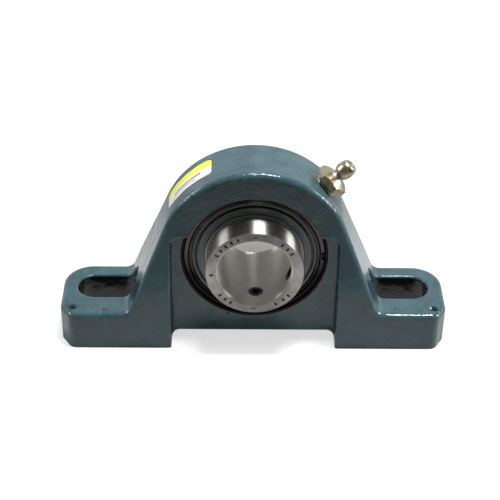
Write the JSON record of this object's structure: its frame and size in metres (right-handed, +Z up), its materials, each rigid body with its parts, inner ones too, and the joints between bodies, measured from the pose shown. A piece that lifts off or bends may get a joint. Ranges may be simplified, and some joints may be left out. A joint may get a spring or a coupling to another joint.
{
  "type": "pillow block bearing",
  "caption": "Cast pillow block with slotted feet, self-aligning ball bearing insert, set screw locking, seals and angled grease fitting.",
  "frame": {"origin": "on the base plane, midway between the two bolt slots", "axes": "+Z up from the base, +X along the base, Y along the shaft with the long end of the inner ring to -Y"},
  "size_m": [0.1664, 0.0406, 0.0851],
  "materials": {
    "housing_enamel": "glossy blue-green enamel over cast iron",
    "ring_steel": "ground bearing steel",
    "ball_steel": "polished bearing steel",
    "black_oxide": "black oxide steel",
    "seal_steel": "grey phosphated sheet steel",
    "flinger_steel": "satin sheet steel",
    "seal_rubber": "moulded nitrile rubber",
    "cage_nylon": "natural moulded nylon",
    "yellow_zinc": "yellow chromate on zinc plated steel",
    "label_film": "printed film, yellow and white"
  },
  "bodies": {
    "housing_body": {"housing": "housing_enamel", "anti_rotation_pin": "black_oxide", "grease_fitting": "yellow_zinc", "valve_spring": "ball_steel", "label": "label_film"},
    "insert_outer": {"outer_ring": "ring_steel", "seal_case_front": "seal_steel", "seal_case_rear": "seal_steel", "seal_lip_front": "seal_rubber", "seal_lip_rear": "seal_rubber"},
    "insert_inner": {"inner_ring": "ring_steel", "flinger_front": "flinger_steel", "flinger_rear": "flinger_steel"},
    "cage_body": {"cage": "cage_nylon"},
    "screw_1_body": {"setscrew_1": "black_oxide"},
    "screw_2_body": {"setscrew_2": "black_oxide"},
    "valve_ball_body": {"check_ball": "ball_steel"},
    "ball_1_body": {"ball_1": "ball_steel"},
    "ball_2_body": {"ball_2": "ball_steel"},
    "ball_3_body": {"ball_3": "ball_steel"},
    "ball_4_body": {"ball_4": "ball_steel"},
    "ball_5_body": {"ball_5": "ball_steel"},
    "ball_6_body": {"ball_6": "ball_steel"},
    "ball_7_body": {"ball_7": "ball_steel"},
    "ball_8_body": {"ball_8": "ball_steel"},
    "ball_9_body": {"ball_9": "ball_steel"}
  },
  "joints": [
    {"name": "insert_swivel", "type": "hinge", "parent": "housing_body", "child": "insert_outer", "pos_m": [0, -0.0026, 0.0429], "axis": [1, 0, 0], "range_deg": [-3, 3]},
    {"name": "shaft_spin", "type": "hinge", "parent": "insert_outer", "child": "insert_inner", "pos_m": [0, -0.0026, 0.0429], "axis": [0, 1, 0], "continuous": true},
    {"name": "cage_orbit", "type": "hinge", "parent": "insert_outer", "child": "cage_body", "pos_m": [0, -0.0026, 0.0429], "axis": [0, 1, 0], "continuous": true},
    {"name": "ball_1_spin", "type": "hinge", "parent": "cage_body", "child": "ball_1_body", "pos_m": [0, -0.0026, 0.0659], "axis": [0, 1, 0], "continuous": true},
    {"name": "ball_2_spin", "type": "hinge", "parent": "cage_body", "child": "ball_2_body", "pos_m": [-0.01478, -0.0026, 0.06052], "axis": [0, 1, 0], "continuous": true},
    {"name": "ball_3_spin", "type": "hinge", "parent": "cage_body", "child": "ball_3_body", "pos_m": [-0.02265, -0.0026, 0.04689], "axis": [0, 1, 0], "continuous": true},
    {"name": "ball_4_spin", "type": "hinge", "parent": "cage_body", "child": "ball_4_body", "pos_m": [-0.01992, -0.0026, 0.0314], "axis": [0, 1, 0], "continuous": true},
    {"name": "ball_5_spin", "type": "hinge", "parent": "cage_body", "child": "ball_5_body", "pos_m": [-0.00787, -0.0026, 0.02129], "axis": [0, 1, 0], "continuous": true},
    {"name": "ball_6_spin", "type": "hinge", "parent": "cage_body", "child": "ball_6_body", "pos_m": [0.00787, -0.0026, 0.02129], "axis": [0, 1, 0], "continuous": true},
    {"name": "ball_7_spin", "type": "hinge", "parent": "cage_body", "child": "ball_7_body", "pos_m": [0.01992, -0.0026, 0.0314], "axis": [0, 1, 0], "continuous": true},
    {"name": "ball_8_spin", "type": "hinge", "parent": "cage_body", "child": "ball_8_body", "pos_m": [0.02265, -0.0026, 0.04689], "axis": [0, 1, 0], "continuous": true},
    {"name": "ball_9_spin", "type": "hinge", "parent": "cage_body", "child": "ball_9_body", "pos_m": [0.01478, -0.0026, 0.06052], "axis": [0, 1, 0], "continuous": true},
    {"name": "setscrew_1_travel", "type": "slide", "parent": "insert_inner", "child": "screw_1_body", "axis": [0.0436, 0, -0.999], "range_m": [-0.0003, 0.003]},
    {"name": "setscrew_2_travel", "type": "slide", "parent": "insert_inner", "child": "screw_2_body", "axis": [0.9239, 0, -0.3827], "range_m": [-0.0003, 0.003]},
    {"name": "grease_valve", "type": "slide", "parent": "housing_body", "child": "valve_ball_body", "axis": [-0.7071, 0, -0.7071], "range_m": [0, 0.0005], "stiffness_N_per_m": 400, "springref_m": -0.0015}
  ],
  "couplings": [
    {"joint": "cage_orbit", "follows": "shaft_spin", "ratio": 0.39647},
    {"joint": "ball_1_spin", "follows": "shaft_spin", "ratio": -2.3112},
    {"joint": "ball_2_spin", "follows": "shaft_spin", "ratio": -2.3112},
    {"joint": "ball_3_spin", "follows": "shaft_spin", "ratio": -2.3112},
    {"joint": "ball_4_spin", "follows": "shaft_spin", "ratio": -2.3112},
    {"joint": "ball_5_spin", "follows": "shaft_spin", "ratio": -2.3112},
    {"joint": "ball_6_spin", "follows": "shaft_spin", "ratio": -2.3112},
    {"joint": "ball_7_spin", "follows": "shaft_spin", "ratio": -2.3112},
    {"joint": "ball_8_spin", "follows": "shaft_spin", "ratio": -2.3112},
    {"joint": "ball_9_spin", "follows": "shaft_spin", "ratio": -2.3112}
  ]
}
